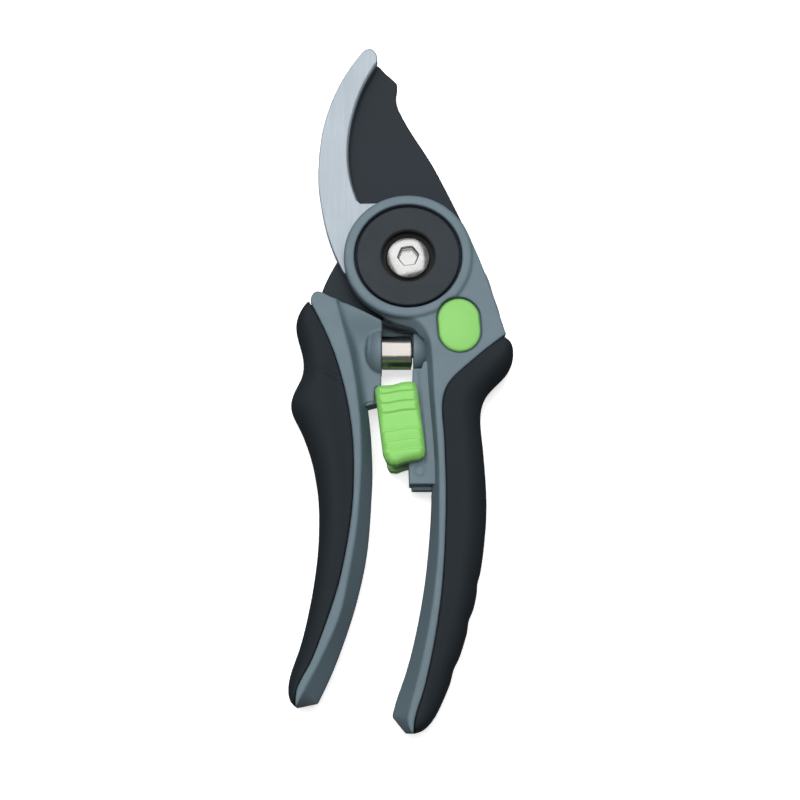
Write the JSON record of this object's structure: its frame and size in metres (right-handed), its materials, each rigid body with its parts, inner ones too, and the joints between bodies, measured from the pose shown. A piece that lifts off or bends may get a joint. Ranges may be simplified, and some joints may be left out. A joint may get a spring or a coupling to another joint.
{
  "type": "pruning shears",
  "caption": "Hand-held bypass pruner with a curved hook blade, a passing cutting blade, soft-grip handles, a volute spring and a thumb slider lock.",
  "frame": {"origin": "on the pivot axis, in the rear plane that the shears rest on", "axes": "+Y towards the blade tip, +Z towards the front face, +X towards the handle that carries the hook blade"},
  "size_m": [0.0659, 0.2081, 0.02],
  "materials": {
    "satin_steel": "satin",
    "black_coating": "matt non-stick coating",
    "grey_nylon": "fine moulded texture",
    "soft_grip": "soft touch",
    "green_plastic": "satin moulded",
    "dark_cover": "fine matt",
    "plated_steel": "nickel plated",
    "plain_steel": "zinc plated",
    "brass_bush": "turned"
  },
  "bodies": {
    "right_handle": {"hook_blade": "satin_steel", "right_front_shell": "grey_nylon", "right_rear_shell": "grey_nylon", "right_grip": "soft_grip", "oval_badge": "green_plastic", "front_pivot_cover": "dark_cover", "pivot_bolt": "plated_steel", "bolt_washer": "plain_steel", "pivot_bush": "brass_bush", "pivot_nut": "plain_steel", "nut_washer": "plain_steel", "right_spring_cup": "grey_nylon", "lock_rail": "grey_nylon", "detent_spring": "plain_steel", "right_shell_screws": "plain_steel", "volute_spring": "plated_steel"},
    "left_handle": {"cutting_blade": "black_coating", "left_front_shell": "grey_nylon", "left_rear_shell": "grey_nylon", "left_grip": "soft_grip", "rear_pivot_cover": "dark_cover", "thrust_washer": "brass_bush", "left_spring_cup": "grey_nylon", "lock_tongue": "grey_nylon", "left_shell_screws": "plain_steel"},
    "slider": {"lock_slider": "green_plastic", "slider_rear": "green_plastic", "slider_screws": "plain_steel"}
  },
  "joints": [
    {"name": "handle_pivot", "type": "hinge", "parent": "right_handle", "child": "left_handle", "pos_m": [0, 0, 0.01], "axis": [0, 0, -1], "range_deg": [0, 34], "deforming": ["volute_spring"]},
    {"name": "lock_slide", "type": "slide", "parent": "right_handle", "child": "slider", "axis": [0.1236, -0.9923, 0], "range_m": [0, 0.007]}
  ]
}
